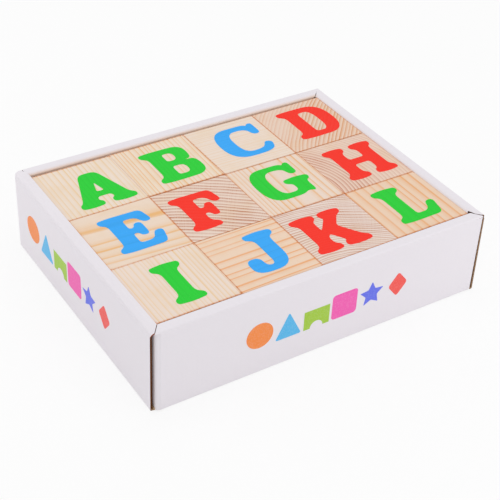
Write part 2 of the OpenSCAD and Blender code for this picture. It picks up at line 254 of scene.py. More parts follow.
# Mottled and flecked wood
MOTTLE_PERIOD = 14.0
MOTTLE_RANGE = (0.45, 0.7)
MOTTLE_TINT = (0.99, 0.96, 0.9, 1.0)
FLECK_PERIOD = 0.55
FLECK_STRETCH = (1.0, 1.0, 0.16)
FLECK_RANGE = (0.7, 0.8)
FLECK_SHARE = 0.3
FIBRE_TONE = (1.0, 0.07)
FIBRE_RELIEF = (0.5, 0.6)

# What the fibres' ends do to the colour, what the faces beside them do where the upper face is end grain,
# and the late wood's colour on those faces
END_GRAIN = (0.93, 0.86, 0.8, 1.0)
LONG_GRAIN = (1.02, 1.02, 1.02, 1.0)
LONG_LATE = (232, 172, 112)

# Browned edges, partly the wood's own and partly painted shade of the gaps between the cubes: their colour,
# width by the way of the fibres, strength where the grain is long, and how the fibres and the late wood
# deepen them
EDGE_BROWN_AND_SHADE = (214, 126, 62)
EDGE_W = {"x": 0.6, "y": 0.9, "z": 0.35}
LONG_EDGE = 0.2
BROWN_AND_SHADE_NOISE = (0.6, 0.9)
LATE_BROWN_AND_SHADE = 0.5

# Ink on pine: what late wood makes of its colour, by the way of the fibres, and what the pores make of it,
# each as a factor and a lift, and with what share
INK_STREAK = {"x": (0.85, 0.0), "y": (0.85, 0.0), "z": (0.96, 0.03)}
STREAK_SHARE = 0.5
PORE_PERIOD = 0.5
PORE_RANGE = (0.7, 0.8)
PORE_PALE = (0.75, 0.25)
PORE_SHARE = 0.3
INK_TONE = (1.01, 0.1)

# White board: paper fibres, clouds, and faint stripes over the flutes
PAPER_PERIOD = 0.9
PAPER_TONE = (1.0, 0.02)
PAPER_RELIEF = (0.0, 0.5)
CLOUD_PERIOD = 22.0
CLOUD_TONE = (1.0, 0.03)
CLOUD_SHARE = (0.5, 0.6)
STRIPE_RELIEF = 0.5

# Light that the wood throws on the inner walls: between which depths into the rim it ends, over which height
# below the rim it starts, its share on the back wall against the others, and where the back wall starts
GLOW_DEPTHS = (2.4, 0.2)
GLOW_DROP = 1.3
GLOW_SHARE = (0.6, 0.8)
BACK_WALL_LEAD = 1.0

# Brown paper, and ink on the walls
KRAFT_PERIOD = 0.6
KRAFT_STRETCH = (1.0, 0.35, 1.0)
KRAFT_SHARE = (0.5, 0.9)
KRAFT_CLOUD_PERIOD = 9.0
KRAFT_CLOUD_TONE = (1.0, 0.12)
WALL_INK_PERIOD = 0.7
WALL_INK_RANGE = (0.4, 0.8)
WALL_INK_PALE = (0.9, 0.1)

# Surfaces: roughness and its spread, gloss, and the strength and depth of the relief
Surface = namedtuple("Surface", "roughness spread gloss strength depth")
PINE_SURFACE = Surface(0.66, 0.14, 0.2, 0.25, 0.05)
INK_SURFACE = Surface(0.6, 0.1, 0.1, 0.15, 0.04)
BOARD_SURFACE = Surface(0.5, 0.12, 0.3, 0.2, 0.02)
PAPER_SURFACE = Surface(0.85, 0.1, 0.15, 0.4, 0.05)
WALL_INK_SURFACE = Surface(0.45, 0.12, 0.3, 0.15, 0.02)

# Shapes printed on the walls, from left to right: outline and colour
WALL_PRINT = (
    ("disc", (248, 141, 66)), ("triangle", (84, 186, 238)), ("arch", (164, 204, 58)),
    ("square", (246, 92, 180)), ("star", (98, 112, 236)), ("diamond", (246, 84, 76)),
)
WALL_PRINT_PITCH = 14.6
WALL_PRINT_SIZE = 13.4
WALL_PRINT_HEIGHT = 20.5
WALL_PRINT_SHIFT = {"front": 2.0, "back": 2.0, "left": -12.0, "right": -12.0}

# Corners of the plain shapes as shares of half their size, and the rounding of corners as a share of the size
SHAPE_CORNERS = {
    "triangle": ((-1, -1), (1, -1), (0, 1)),
    "square": ((-1, -1), (1, -1), (1, 1), (-1, 1)),
    "diamond": ((0, -1), (0.8, 0), (0, 1), (-0.8, 0)),
}
SHAPE_ROUNDING = {"triangle": 0.1, "square": 0.15, "diamond": 0.12, "star": 0.05}
ROUNDING_STEPS = 6
DISC_POINTS = 48
ARCH_POINTS = 24
ARCH_HOLE = 0.5
ARCH_CORNERS = ((-1, -1), (1, -1), (1, 0.5), (-1, 0.5))
STAR_TIPS = 5
STAR_WAIST = 0.48

# Camera, fitted to the photograph's outline: angles in degrees, lengths in millimetres
CAMERA_AZIMUTH = -33.91
CAMERA_ELEVATION = 36.343
CAMERA_ROLL = 3.051
CAMERA_DISTANCE = 569.116
CAMERA_SLIDE = (-2.214, 8.303)
CAMERA_AIM_HEIGHT = 20.0
CAMERA_LENS = 87.201
CAMERA_NEAR = 10.0
SENSOR = 36.0

# Studio: soft boxes with their places, aims and sides in metres and their power in watts, the strength of the
# light from all round, and the floor's size and drop in metres, its two tones and the share seen as white
Light = namedtuple("Light", "name place aim size power")
LIGHTS = (
    Light("top_light", (0.2, -0.1, 1.3), (0, 0, 0), 1.2, 2.7),
    Light("front_light", (0.26, -0.34, 0.08), (0.04, 0, 0), 0.25, 0.21),
    Light("left_light", (-0.35, 0.25, 0.2), (0, 0, 0.02), 0.25, 0.18),
)
WORLD_STRENGTH = 0.78
FLOOR_SIZE = 6.0
FLOOR_DROP = 0.0002
FLOOR_TONES = ((0.93, 0.93, 0.93, 1.0), (0.95, 0.95, 0.95, 1.0))
FLOOR_CLOUD_PERIOD = 0.4
FLOOR_ROUGHNESS = 0.9
FLOOR_GLOSS = 0.1
FLOOR_WHITE = 0.8


def linear(colour):
    """An sRGB colour in steps of 255 as linear RGBA."""
    shares = [step / 255 for step in colour]
    return tuple(s / 12.92 if s <= 0.04045 else ((s + 0.055) / 1.055) ** 2.4 for s in shares) + (1.0,)


def toned(colour, factor, lift):
    """A linear colour times a factor, and lifted."""
    return tuple(factor * part + lift for part in colour[:3]) + (1.0,)


class Shade:
    """A material in the making: adds nodes, sets their sockets and links them."""

    def __init__(self, name):
        self.material = bpy.data.materials.new(name)
        self.material.use_nodes = True
        self.tree = self.material.node_tree
        self.principled = self.tree.nodes["Principled BSDF"]
        self.coords = self.node("TexCoord")

    def put(self, socket, value):
        if isinstance(value, bpy.types.NodeSocket):
            self.tree.links.new(value, socket)
        else:
            socket.default_value = value

    def node(self, kind, inputs=None, **settings):
        made = self.tree.nodes.new("ShaderNode" + kind)
        for key, value in settings.items():
            setattr(made, key, value)
        for key, value in (inputs or {}).items():
            self.put(made.inputs[key], value)
        return made

    def math(self, operation, a, b=0.0, clamp=False):
        return self.node("Math", {0: a, 1: b}, operation=operation, use_clamp=clamp).outputs[0]

    def around(self, value, middle, spread):
        """A noise value of about one half, moved to a middle and stretched to a spread."""
        inputs = {0: value, 1: spread, 2: middle - spread / 2}
        return self.node("Math", inputs, operation="MULTIPLY_ADD").outputs[0]

    def vector(self, operation, a, b=(0.0, 0.0, 0.0)):
        made = self.node("VectorMath", {0: a, 1: b}, operation=operation)
        return made.outputs["Value" if operation in ("LENGTH", "DOT_PRODUCT") else "Vector"]

    def scaled(self, vector, factor):
        return self.node("VectorMath", {0: vector, "Scale": factor}, operation="SCALE").outputs["Vector"]

    def parts(self, vector):
        return self.node("SeparateXYZ", {0: vector}).outputs

    def place(self):
        """Place on the object in millimetres."""
        return self.scaled(self.coords.outputs["Object"], 1 / MM)

    def noise(self, vector, period, detail, output="Fac"):
        inputs = {"Vector": vector, "Scale": 1 / period, "Detail": detail}
        return self.node("TexNoise", inputs).outputs[output]

    def noise_along(self, distance, period):
        inputs = {"W": distance, "Scale": 1 / period, "Detail": 1.0}
        return self.node("TexNoise", inputs, noise_dimensions="1D").outputs["Fac"]

    def steps(self, value, low, high):
        """A smooth step from zero at low to one at high."""
        inputs = {"Value": value, "From Min": low, "From Max": high}
        return self.node("MapRange", inputs, interpolation_type="SMOOTHSTEP").outputs["Result"]

    def mix(self, factor, a, b):
        """A mix of two colours, whose sockets on the node are 6 and 7, and 2 for the outcome."""
        made = self.node("Mix", data_type="RGBA")
        self.put(made.inputs[0], factor)
        self.put(made.inputs[6], a)
        self.put(made.inputs[7], b)
        return made.outputs[2]

    def ramp(self, value, stops):
        made = self.node("ValToRGB", {"Fac": value})
        made.color_ramp.interpolation = "EASE"
        points = made.color_ramp.elements
        while len(points) < len(stops):
            points.new(0.5)
        for point, (position, level) in zip(points, stops):
            point.position = position
            point.color = (level, level, level, 1.0)
        return made.outputs["Color"]

    def finish(self, colour, grain, relief, surface):
        """Sets the colour, with a roughness that follows the grain and a relief, and gives the material."""
        sockets = self.principled.inputs
        bump = {"Height": relief, "Strength": surface.strength, "Distance": surface.depth * MM}
        self.put(sockets["Base Color"], colour)
        self.put(sockets["Roughness"], self.around(grain, surface.roughness, surface.spread))
        self.put(sockets["Specular IOR Level"], surface.gloss)
        self.put(sockets["Normal"], self.node("Bump", bump).outputs["Normal"])
        return self.material


Grain = namedtuple("Grain", "log late fibre end")


def pine_grain(shade, pine, middle):
    """Place in the log, late wood, fibres and end grain of a cube, from where it lay in its log."""
    to_log = FIBRES_TO_Z[pine.fibres] @ Matrix.Rotation(math.radians(pine.turn), 3, "Z")
    mapping = shade.node("Mapping", {
        "Vector": shade.coords.outputs["Object"],
        "Location": -(to_log @ (middle + Vector(pine.pith))),
        "Rotation": to_log.to_euler(),
        "Scale": (1 / MM, 1 / MM, 1 / MM),
    })
    log = mapping.outputs["Vector"]

    # Bent rings
    slow = shade.vector("MULTIPLY", log, ALONG_FIBRES)
    bent = log
    for period, swing, detail in RING_WAVES:
        sway = shade.vector("SUBTRACT", shade.noise(slow, period, detail, "Color"), NOISE_MIDDLE)
        bent = shade.vector("ADD", bent, shade.scaled(sway, swing * pine.warp))
    radius = shade.vector("LENGTH", shade.vector("MULTIPLY", bent, (1.0, 1.0, 0.0)))
    stray = shade.noise_along(radius, SPREAD_RINGS * pine.ring)
    stray = shade.around(stray, 0.0, RING_SPREAD[pine.fibres] * pine.ring)
    phase = shade.math("DIVIDE", shade.math("ADD", radius, stray), pine.ring)
    ring = shade.math("POWER", shade.ramp(shade.math("FRACT", phase), RING_PROFILE), pine.thin)

    # End grain and its rays
    across = shade.parts(bent)
    angle = shade.math("ARCTAN2", across["Y"], across["X"])
    rays = shade.noise_along(shade.math("MULTIPLY", angle, Vector(pine.pith).length), RAY_PERIOD)
    fibre_way = to_log.inverted() @ Vector((0, 0, 1))
    facing = shade.vector("DOT_PRODUCT", shade.coords.outputs["Normal"], fibre_way)
    end = shade.steps(shade.math("ABSOLUTE", facing), *END_CUT)

    # Depth of the late wood
    year = shade.around(shade.noise_along(shade.math("FLOOR", phase), YEAR_PERIOD), *YEAR_DEPTH)
    patch = shade.around(shade.noise(slow, PATCH_PERIOD, detail=1.0), *PATCH_DEPTH)
    beads = shade.math("SUBTRACT", 1.0, shade.math("MULTIPLY", end, shade.around(rays, *RAY_DEPTH)))
    paling = shade.steps(radius, pine.reach, pine.reach + PALING_LENGTH)
    depth = shade.math("SUBTRACT", 1.0, shade.math("MULTIPLY", paling, PALING))
    for share in (year, patch, beads):
        depth = shade.math("MULTIPLY", depth, share)
    late = shade.math("MULTIPLY", ring, depth, clamp=True)

    fibre = shade.noise(shade.vector("MULTIPLY", log, FIBRE_STRETCH), FIBRE_PERIOD, detail=3.0)
    return Grain(log, late, fibre, end)


def edge_factor(shade, fibres, middle, half):
    """One on the edges of a cube's end grain, less on its other edges and zero away from them."""
    away = shade.parts(shade.vector("ABSOLUTE", shade.vector("SUBTRACT", shade.place(), middle)))
    lower = shade.math("MINIMUM", away["X"], away["Y"])
    upper = shade.math("MAXIMUM", away["X"], away["Y"])
    second = shade.math("MAXIMUM", lower, shade.math("MINIMUM", upper, away["Z"]))
    width = EDGE_W[fibres]
    end_edge = shade.steps(away[fibres.upper()], half - 2 * width, half - width)
    strength = shade.math("MAXIMUM", end_edge, LONG_EDGE)
    return shade.math("MULTIPLY", shade.steps(second, half - width, half), strength)


def pine_material(letter, middle, half):
    """Sanded pine with the rings of one cube, and browned edges with painted shade of the gaps."""
    pine = PINES[letter]
    shade = Shade("pine_" + letter)
    grain = pine_grain(shade, pine, middle)
    early = linear(pine.early)
    late = linear(pine.late)

    # Early and late wood on end grain and beside it
    warm = tuple(part * tint for part, tint in zip(early, MOTTLE_TINT))
    mottle = shade.steps(shade.noise(grain.log, MOTTLE_PERIOD, detail=2.0), *MOTTLE_RANGE)
    if pine.fibres == "z":
        tint = shade.mix(grain.end, LONG_GRAIN, PLAIN)
        late_here = shade.mix(grain.end, linear(LONG_LATE), late)
    else:
        tint = shade.mix(grain.end, PLAIN, END_GRAIN)
        late_here = late
    colour = shade.mix(grain.late, shade.mix(mottle, early, warm), late_here)
    colour = shade.vector("MULTIPLY", colour, tint)

    # Flecks, and browned edges with painted shade of the gaps between cubes
    flecks = shade.noise(shade.vector("MULTIPLY", grain.log, FLECK_STRETCH), FLECK_PERIOD, detail=1.0)
    flecks = shade.math("MULTIPLY", shade.steps(flecks, *FLECK_RANGE), FLECK_SHARE)
    colour = shade.mix(flecks, colour, late)
    edge = edge_factor(shade, pine.fibres, middle, half)
    brown_and_shade = shade.math("MULTIPLY", grain.late, LATE_BROWN_AND_SHADE)
    brown_and_shade = shade.math("ADD", shade.around(grain.fibre, *BROWN_AND_SHADE_NOISE), brown_and_shade)
    colour = shade.mix(shade.math("MULTIPLY", edge, brown_and_shade, clamp=True), colour, linear(EDGE_BROWN_AND_SHADE))

    colour = shade.scaled(colour, shade.around(grain.fibre, *FIBRE_TONE))
    relief = shade.math("ADD", shade.around(grain.fibre, *FIBRE_RELIEF), grain.late)
    return shade.finish(colour, grain.fibre, relief, PINE_SURFACE)


def ink_material(name, ink, letter, middle):
    """Matt ink on pine, thin enough for the rings to tell through it."""
    shade = Shade(name)
    pine = PINES[letter]
    grain = pine_grain(shade, pine, middle)
    full = linear(INKS[ink])
    streaked = toned(full, *INK_STREAK[pine.fibres])
    colour = shade.mix(shade.math("MULTIPLY", grain.late, STREAK_SHARE), full, streaked)
    pores = shade.steps(shade.noise(grain.log, PORE_PERIOD, detail=1.0), *PORE_RANGE)
    colour = shade.mix(shade.math("MULTIPLY", pores, PORE_SHARE), colour, toned(full, *PORE_PALE))
    colour = shade.scaled(colour, shade.around(grain.fibre, *INK_TONE))
    return shade.finish(colour, grain.fibre, grain.fibre, INK_SURFACE)


def painted_wood_light_share(shade, place):
    """Share of the painted warm light and shade from the wood on the inner walls, most on the back one."""
    reach = shade.parts(shade.vector("ABSOLUTE", place))
    height = shade.parts(place)["Z"]
    short_wall = shade.math("SUBTRACT", reach["X"], HALF_L - RIM_W)
    long_wall = shade.math("SUBTRACT", reach["Y"], HALF_W - RIM_W)
    inside = shade.steps(shade.math("MAXIMUM", short_wall, long_wall), *GLOW_DEPTHS)
    below_rim = shade.steps(height, RIM_TOP, RIM_TOP - GLOW_DROP)
    above_floor = shade.steps(height, BOARD_T, 2 * BOARD_T)
    back = shade.steps(shade.parts(place)["Y"], HALF_W - RIM_W - BACK_WALL_LEAD, HALF_W - RIM_W)
    glow = shade.around(back, *GLOW_SHARE)
    for share in (inside, below_rim, above_floor):
        glow = shade.math("MULTIPLY", glow, share)
    return glow


def board_material():
    """White-lined board: paper fibres, faint stripes over the flutes, painted wood light inside and a soft
    sheen.
    """
    shade = Shade("white_board")
    place = shade.place()
    paper = shade.noise(place, PAPER_PERIOD, detail=4.0)
    cloud = shade.noise(place, CLOUD_PERIOD, detail=2.0)

    # Stripes run upright on the long walls and level on the short ones
    along = shade.parts(place)
    aside = shade.math("ABSOLUTE", shade.parts(shade.coords.outputs["Normal"])["X"])
    across = shade.node("Mix", {0: aside, 2: along["X"], 3: along["Z"]}).outputs[0]
    stripes = shade.math("SINE", shade.math("MULTIPLY", across, 2 * math.pi / FLUTE_PITCH))
    relief = shade.math("MULTIPLY", stripes, STRIPE_RELIEF)
    relief = shade.math("ADD", relief, shade.around(paper, *PAPER_RELIEF))

    colour = shade.mix(shade.around(cloud, *CLOUD_SHARE), linear(WHITE_BOARD), linear(BOARD_CLOUD))
    # Painted warm light and shade from the wood on the inner walls
    colour = shade.mix(painted_wood_light_share(shade, place), colour, linear(PAINTED_WOOD_LIGHT))
    tone = shade.math("MULTIPLY", shade.around(paper, *PAPER_TONE), shade.around(cloud, *CLOUD_TONE))
    return shade.finish(shade.scaled(colour, tone), paper, relief, BOARD_SURFACE)


def paper_material(name, tones):
    """Brown paper with its fibres, between two tones."""
    shade = Shade(name)
    place = shade.place()
    fibres = shade.noise(shade.vector("MULTIPLY", place, KRAFT_STRETCH), KRAFT_PERIOD, detail=5.0)
    cloud = shade.noise(place, KRAFT_CLOUD_PERIOD, detail=2.0)
    colour = shade.mix(shade.around(fibres, *KRAFT_SHARE), linear(tones[0]), linear(tones[1]))
    colour = shade.scaled(colour, shade.around(cloud, *KRAFT_CLOUD_TONE))
    return shade.finish(colour, fibres, fibres, PAPER_SURFACE)


def wall_ink_material(name, colour):
    """Offset ink on the board, with a faint unevenness."""
    shade = Shade("wall_ink_" + name)
    paper = shade.noise(shade.place(), WALL_INK_PERIOD, detail=3.0)
    full = linear(colour)
    colour = shade.mix(shade.steps(paper, *WALL_INK_RANGE), full, toned(full, *WALL_INK_PALE))
    return shade.finish(colour, paper, paper, WALL_INK_SURFACE)


# Materials of the tray, with the numbers by which its panels call them
white_board = board_material()
kraft = paper_material("kraft", KRAFT)
# Cut edges, their brown darkened with painted shade of the recessed ends
cut_edge_and_shade = paper_material("cut_edge_and_shade", CUT_EDGE_AND_SHADE)
# Mitred edges, their brown warmed with painted light that shines through the front-left seam
mitre_edge_and_glow = paper_material("mitre_edge_and_glow", MITRE_EDGE_AND_GLOW)
wall_inks = [wall_ink_material(kind, colour) for kind, colour in WALL_PRINT]
WHITE_SKIN, KRAFT_SKIN, CUT_SKIN = 0, 1, 2


def new_piece(name, bm, materials, body, smooth_angle=SMOOTH_ANGLE):
    """A finished mesh as a piece that rides on a body."""
    bmesh.ops.recalc_face_normals(bm, faces=bm.faces)
    mesh = bpy.data.meshes.new(name)
    bm.to_mesh(mesh)
    bm.free()
    for material in materials:
        mesh.materials.append(material)
    mesh.shade_smooth()
    mesh.set_sharp_from_angle(angle=math.radians(smooth_angle))
    piece = bpy.data.objects.new(name, mesh)
    bpy.context.scene.collection.objects.link(piece)
    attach(piece, body)
    return piece


def tray_panel(node, bm):
    """A panel of the tray, in place of its CAD node."""
    # The two panels at the front-left seam get edges warmed with painted light through the seam
    edge = mitre_edge_and_glow if node in SEAM_GLOW_EDGED else cut_edge_and_shade
    piece = new_piece(node + "_board", bm, (white_board, kraft, edge), "tray")
    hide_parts(node)


# Sides of the tray: middle of the outer face on the table, way along the wall, way into the tray,
# half lengths outside and inside, and the corners at the start and the end
Side = namedtuple("Side", "origin along inward half clear_half corners")


def tray_side(inward, corners):
    """A side of the tray from the way into the tray."""
    inward = Vector(inward)
    along = Vector((inward.y, -inward.x))
    reach, half = (HALF_L, HALF_W) if inward.x else (HALF_W, HALF_L)
    return Side(-inward * reach, along, inward, half, half - RIM_W, corners)


SIDES = {
    "front": tray_side((0, 1), ("front_left", "front_right")),
    "back": tray_side((0, -1), ("back_right", "back_left")),
    "right": tray_side((-1, 0), ("front_right", "back_right")),
    "left": tray_side((1, 0), ("back_left", "front_left")),
}
SHORT_SIDES = ("left", "right")


def on_side(side, depth, height, along):
    """A point in metres from its depth behind the outer face, its height and its place along the wall."""
    flat = side.origin + side.along * along + side.inward * depth
    return Vector((flat.x, flat.y, height)) * MM


def slab(bm, side, outline, depths, skins):
    """A flat sheet on a side of the tray, between two depths, from an outline of places along the wall
    and heights. The skins number the materials of its two faces and its edges."""
    loops = []
    for depth, skin in zip(depths, skins):
        loop = [bm.verts.new(on_side(side, depth, height, along)) for along, height in outline]
        bm.faces.new(loop).material_index = skin
        loops.append(loop)
    near, far = loops
    for this in range(len(outline)):
        that = (this + 1) % len(outline)
        bm.faces.new((near[this], near[that], far[that], far[this])).material_index = skins[2]


def stretch(start, end, step):
    """Points along a straight stretch, about a step apart."""
    count = max(1, round((end - start).length / step))
    return [start.lerp(end, number / count) for number in range(count + 1)]


def folded_board(corners, folds, step):
    """Pairs of points on the outer and the inner side of a folded board, which turns right at each
    inner corner of its line and has a scored groove in each fold."""
    corners = [Vector(corner) for corner in corners]
    headings = [(b - a).normalized() for a, b in zip(corners, corners[1:])]
    inwards = [Vector((heading.y, -heading.x)) for heading in headings]
    start = corners[0]
    pairs = [(start, start + inwards[0] * BOARD_T)]
    for heading, onward, inward, corner, fold in zip(headings, headings[1:], inwards, corners[1:], folds):
        room_before = max(fold.before, FOLD_REACH)
        room_after = max(fold.after, FOLD_REACH)
        straight = stretch(start, corner - heading * room_before, step)[1:-1]
        pairs += [(point, point + inward * BOARD_T) for point in straight]
        inner_corner = corner + (onward - heading) * BOARD_T
        for count in range(FOLD_STEPS + 1):
            angle = math.pi / 2 * count / FOLD_STEPS
            back = heading * (1 - math.sin(angle))
            on = onward * (1 - math.cos(angle))
            outer = corner - back * fold.before + on * fold.after
            inner = inner_corner - back * (room_before - BOARD_T) + on * (room_after - BOARD_T)
            nearness = max(0.0, 1 - abs(count - FOLD_STEPS * fold.crease) / SCORE_STEPS)
            outer += (inner - outer).normalized() * fold.score * nearness
            pairs.append((outer, inner))
        start = corner + onward * room_after
    straight = stretch(start, corners[-1], step)[1:]
    return pairs + [(point, point + inwards[-1] * BOARD_T) for point in straight]


def layer(pairs, near, far):
    """One layer of the board, between two shares of its thickness."""
    return [(out.lerp(inn, near), out.lerp(inn, far)) for out, inn in pairs]


def flutes(pairs):
    """The wavy layer in the middle of the board."""
    half = MEDIUM_T / BOARD_T / 2
    wave = []
    travelled = 0.0
    before = pairs[0][0]
    for out, inn in pairs:
        travelled += (out - before).length
        before = out
        middle = 0.5 + FLUTE_SWING / BOARD_T * math.sin(2 * math.pi * travelled / FLUTE_PITCH)
        wave.append((out.lerp(inn, middle - half), out.lerp(inn, middle + half)))
    return wave


def sweep(bm, pairs, span, place, skins):
    """Runs a layer from one end of its span to the other. The skins number the materials of the
    outer side, the inner side and the cut edges."""
    def row(points, end):
        return [bm.verts.new(place(point.x, point.y, span(point)[end])) for point in points]

    def face(corners, skin):
        bm.faces.new(corners).material_index = skin

    sides = list(zip(*pairs))
    outer_a, inner_a, outer_b, inner_b = [row(points, end) for end in (0, 1) for points in sides]
    for this in range(len(pairs) - 1):
        that = this + 1
        face((outer_a[this], outer_a[that], outer_b[that], outer_b[this]), skins[0])
        face((inner_a[this], inner_b[this], inner_b[that], inner_a[that]), skins[1])
        face((outer_a[this], inner_a[this], inner_a[that], outer_a[that]), skins[2])
        face((outer_b[this], outer_b[that], inner_b[that], inner_b[this]), skins[2])
    for edge in (0, -1):
        face((outer_a[edge], outer_b[edge], inner_b[edge], inner_a[edge]), skins[2])


def sweep_board(bm, corners, folds, span, place, open_flutes):
    """Folded board along a line, with its liners and flutes where its cut ends show."""
    step = FLUTE_PITCH / FLUTE_SAMPLES if open_flutes else HALF_L
    pairs = folded_board(corners, folds, step)
    white_out = (WHITE_SKIN, KRAFT_SKIN, CUT_SKIN)
    if not open_flutes:
        sweep(bm, pairs, span, place, white_out)
        return

    def recessed(amount):
        def ends(point):
            below_rim = max(0.0, RIM_TOP - BOARD_T - point.y)
            depth = amount * min(1.0, below_rim / RECESS_RUN)
            start, end = span(point)
            return start + depth, end - depth
        return ends

    inside = (CUT_SKIN, CUT_SKIN, CUT_SKIN)
    liner = LINER_T / BOARD_T
    sweep(bm, layer(pairs, 0.0, liner), span, place, white_out)
    sweep(bm, flutes(pairs), recessed(MEDIUM_SET), place, inside)
    sweep(bm, layer(pairs, 1.0 - liner, 1.0), recessed(INNER_LINER_SET), place, inside)


def rim_foot(name):
    """Height at which an outer wall's panel ends and its rim's starts, a little below the fold."""
    return RIM_TOP - max(RIM_FOLDS[name].before, FOLD_REACH) - FOLD_LEAD


def wall_draw(corner, height):
    """How far a short wall draws back from a corner at a height, with no draw at the top of the rim."""
    foot, top = WALL_DRAW.get(corner, (0.0, 0.0))
    fade = min(1.0, max(0.0, RIM_TOP - height) / DRAW_FADE)
    return (foot + (top - foot) * height / RIM_TOP) * fade


def outer_wall(name):
    """Outer wall with the fold at its foot. A short wall ends in raw edges, a long one in its flaps."""
    side = SIDES[name]
    node = name + "_outer_wall"
    short = name in SHORT_SIDES

    def span(point):
        if short:
            ends = [SHORT_END_SET + wall_draw(corner, point.y) for corner in side.corners]
        else:
            ends = (FLAP_ROOT, FLAP_ROOT)
        return ends[0] - side.half, side.half - ends[1]

    bm = bmesh.new()
    corners = ((FOLD_REACH + FOOT_LEAD, 0), (0, 0), (0, rim_foot(name)))
    sweep_board(bm, corners, (FOOT_FOLD,), span, partial(on_side, side), short)
    tray_panel(node, bm)


def seam_end(corner, depth, height, short):
    """How far from the outer corner a rim ends, at a depth behind its outer face and a height."""
    seam = SEAMS[corner]
    share = depth / RIM_W
    if short:
        wall_end = SHORT_END_SET + wall_draw(corner, height)
        end = max(wall_end, RIM_W * (depth - seam.lap) / (RIM_W - seam.lap))
        end += seam.opening * max(0.0, 1 - abs(share - OPENING_AT) / OPENING_HALF)
    else:
        end = seam.lap + (RIM_W - seam.lap) * share + seam.flare * (1 - share) ** FLARE_POWER
    return end + seam.gap / 2


def rim(name):
    """Rim with a fold on each side, whose ends meet the next rims at the corners."""
    side = SIDES[name]
    short = name in SHORT_SIDES

    def span(point):
        beside_flap = point.x < RIM_W / 2 and point.y < FLAP_TOP
        if beside_flap and not short:
            ends = (FLAP_ROOT, FLAP_ROOT)
        else:
            ends = [seam_end(corner, point.x, point.y, short) for corner in side.corners]
        return ends[0] - side.half, side.half - ends[1]

    bm = bmesh.new()
    corners = ((0, rim_foot(name)), (0, RIM_TOP), (RIM_W, RIM_TOP), (RIM_W, RIM_TOP - INNER_FOLD_END))
    folds = (RIM_FOLDS[name], INNER_FOLDS[name])
    sweep_board(bm, corners, folds, span, partial(on_side, side), short)
    tray_panel(name + "_rim", bm)


def inner_wall(name):
    """Inner wall with two tabs that reach through the floor."""
    side = SIDES[name]
    node = name + "_inner_wall"
    high = box_mm(node)[1]
    half = high.y if name in SHORT_SIDES else high.x
    top = RIM_TOP - INNER_FOLD_END
    outline = [(-half, BOARD_T)]
    for place in TAB_PLACES:
        middle = place * 2 * side.clear_half
        outline += [
            (middle - TAB_W / 2, BOARD_T), (middle - TAB_W / 2 + TAB_TAPER, 0.0),
            (middle + TAB_W / 2 - TAB_TAPER, 0.0), (middle + TAB_W / 2, BOARD_T),
        ]
    outline += [(half, BOARD_T), (half, top), (-half, top)]
    bm = bmesh.new()
    slab(bm, side, outline, (RIM_W, RIM_W - BOARD_T), (WHITE_SKIN, KRAFT_SKIN, CUT_SKIN))
    tray_panel(node, bm)


def corner_flap(node, way_x, way_y):
    """Flap that turns round the corner from a long wall and lies inside the short outer wall."""
    def place(depth_x, depth_y, height):
        return Vector((way_x * (HALF_L - depth_x), way_y * (HALF_W - depth_y), height)) * MM

    def span(point):
        return (FLAP_FOOT, FLAP_TOP) if point.y < FOLD_REACH else (FOLD_REACH, FLAP_LEG_TOP)

    bm = bmesh.new()
    turn = FLAP_SET - FLAP_SHIFT.get(node, 0.0)
    corners = ((FLAP_ROOT, 0), (turn, 0), (turn, FLAP_LEN))
    folds = (FLAP_FOLDS.get(node, FLAP_FOLD),)
    sweep_board(bm, corners, folds, span, place, open_flutes=False)
    tray_panel(node, bm)


def slot_boxes():
    """Lowest and highest corner of every tab slot in the floor, in plan."""
    boxes = []
    for side in SIDES.values():
        for place in TAB_PLACES:
            middle = place * 2 * side.clear_half
            ends = [
                side.origin + side.along * (middle + way * (TAB_W / 2 + SLOT_GAP)) + side.inward * depth
                for way, depth in ((-1, RIM_W - BOARD_T - SLOT_GAP), (1, RIM_W + SLOT_GAP))
            ]
            xs = sorted(end.x for end in ends)
            ys = sorted(end.y for end in ends)
            boxes.append((xs[0], ys[0], xs[1], ys[1]))
    return boxes


def tray_floor():
    """Floor of the tray with its slots: white below, brown above."""
    slots = slot_boxes()
    edge_x = HALF_L - FOLD_REACH - FOOT_LEAD
    edge_y = HALF_W - FOLD_REACH - FOOT_LEAD
    xs = sorted({-edge_x, edge_x} | {box[0] for box in slots} | {box[2] for box in slots})
    ys = sorted({-edge_y, edge_y} | {box[1] for box in slots} | {box[3] for box in slots})
    bm = bmesh.new()
    under, over = [
        {(x, y): bm.verts.new(Vector((x, y, height)) * MM) for x in xs for y in ys}
        for height in (0.0, BOARD_T - FLOOR_RELIEF)
    ]
    borders = {}
    for x0, x1 in zip(xs, xs[1:]):
        for y0, y1 in zip(ys, ys[1:]):
            x, y = (x0 + x1) / 2, (y0 + y1) / 2
            if any(box[0] < x < box[2] and box[1] < y < box[3] for box in slots):
                continue
            loop = ((x0, y0), (x0, y1), (x1, y1), (x1, y0))
            bm.faces.new([under[point] for point in loop]).material_index = WHITE_SKIN
            bm.faces.new([over[point] for point in loop]).material_index = KRAFT_SKIN
            for start, end in zip(loop, loop[1:] + loop[:1]):
                borders[start, end] = (end, start)
    for (start, end), turned in borders.items():
        if turned not in borders:
            side = (under[start], under[end], over[end], over[start])
            bm.faces.new(side).material_index = KRAFT_SKIN
    tray_panel("tray_floor", bm)


def softened(points, rounding):
    """A closed outline with each corner turned into a curve."""
    soft = []
    for number, point in enumerate(points):
        before, after = points[number - 1], points[(number + 1) % len(points)]
        start = point + (before - point).normalized() * rounding
        end = point + (after - point).normalized() * rounding
        for count in range(ROUNDING_STEPS + 1):
            share = count / ROUNDING_STEPS
            soft.append(start.lerp(point, share).lerp(point.lerp(end, share), share))
    return soft


def round_points(radius, start, end, count):
    """Points on an arc round zero, between two angles in degrees."""
    angles = [math.radians(start + (end - start) * number / (count - 1)) for number in range(count)]
    return [Vector((math.cos(angle), math.sin(angle))) * radius for angle in angles]


